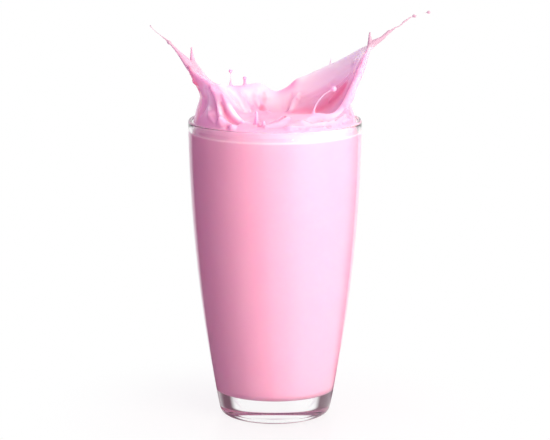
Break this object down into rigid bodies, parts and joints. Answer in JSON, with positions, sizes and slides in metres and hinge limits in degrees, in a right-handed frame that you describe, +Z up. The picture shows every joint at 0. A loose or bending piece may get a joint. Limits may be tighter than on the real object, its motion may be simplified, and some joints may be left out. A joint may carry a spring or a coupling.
{
  "type": "glass of strawberry milk",
  "caption": "Tall clear tumbler filled with strawberry milk, with a splash of the milk standing out of its mouth in sheets, threads and beads.",
  "frame": {"origin": "centre of the glass's flat foot, on the surface that it stands on", "axes": "+Z up along the glass's axis; the low side of the splash faces -Y, its tall wing leans towards +X and its horn towards -X"},
  "size_m": [0.1282, 0.0796, 0.1877],
  "materials": {
    "clear_glass": "polished clear glass",
    "milk": "wet glossy pink milk"
  },
  "bodies": {
    "root": {"glass": "clear_glass", "milk": "milk"}
  },
  "joints": []
}
